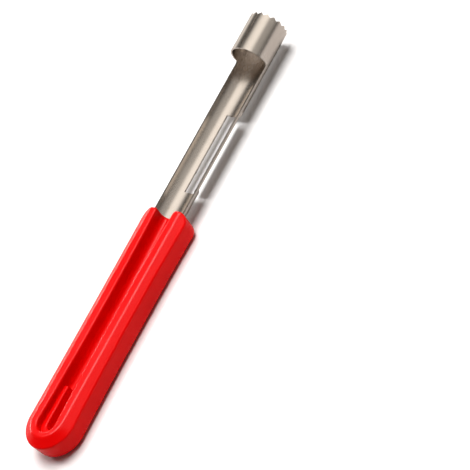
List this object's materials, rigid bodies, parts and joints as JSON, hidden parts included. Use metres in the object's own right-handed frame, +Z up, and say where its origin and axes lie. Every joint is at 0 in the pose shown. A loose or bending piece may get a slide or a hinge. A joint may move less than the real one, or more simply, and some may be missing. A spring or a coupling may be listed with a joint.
{
  "type": "hand apple corer and peeler",
  "caption": "One-piece rolled steel blade with a toothed coring ring, open trough and peeling slot, moulded into a grooved plastic handle.",
  "frame": {"origin": "middle of the bounding box, on the flat surface that the handle rests on", "axes": "+X along the blade towards its toothed tip, +Z up through the open side of the trough and the handle's groove; the cutting strip is on the -Y side"},
  "size_m": [0.2159, 0.0258, 0.0212],
  "materials": {
    "blade_steel": "satin rolled stainless sheet",
    "handle_plastic": "glossy moulded red plastic"
  },
  "bodies": {
    "root": {"blade": "blade_steel", "handle": "handle_plastic"}
  },
  "joints": []
}
